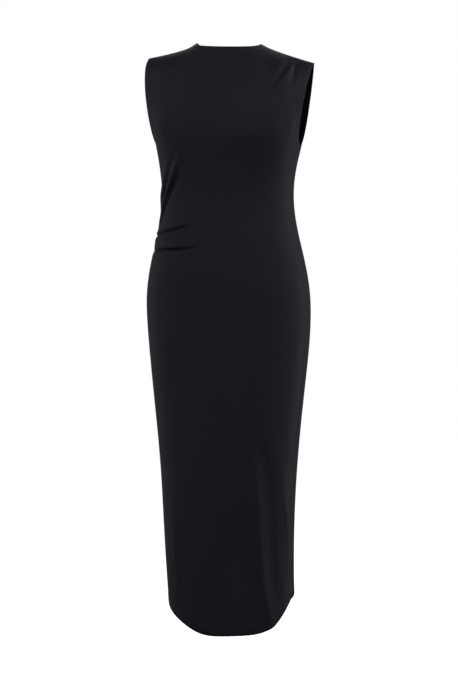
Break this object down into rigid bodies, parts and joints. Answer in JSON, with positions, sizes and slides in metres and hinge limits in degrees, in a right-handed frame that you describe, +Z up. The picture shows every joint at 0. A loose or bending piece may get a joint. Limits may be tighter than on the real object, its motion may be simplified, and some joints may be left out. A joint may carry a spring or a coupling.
{
  "type": "straight maxi dress",
  "caption": "Straight sleeveless maxi dress in black jersey, in its hollow worn form: wide boat neck, small tucks at one side of the waist and one shoulder, hem curved up at the sides.",
  "frame": {"origin": "midway between the two neck points, where the neckline meets the shoulder seams, which is where the wearer's shoulders hold the dress", "axes": "+Z up, from the hem to the shoulders; +X towards the wearer's left; -Y towards the front"},
  "size_m": [0.3922, 0.269, 1.3511],
  "materials": {
    "black_jersey": "fine knitted jersey with a soft satin sheen"
  },
  "bodies": {
    "root": {"front_panel": "black_jersey", "back_panel": "black_jersey"}
  },
  "joints": []
}
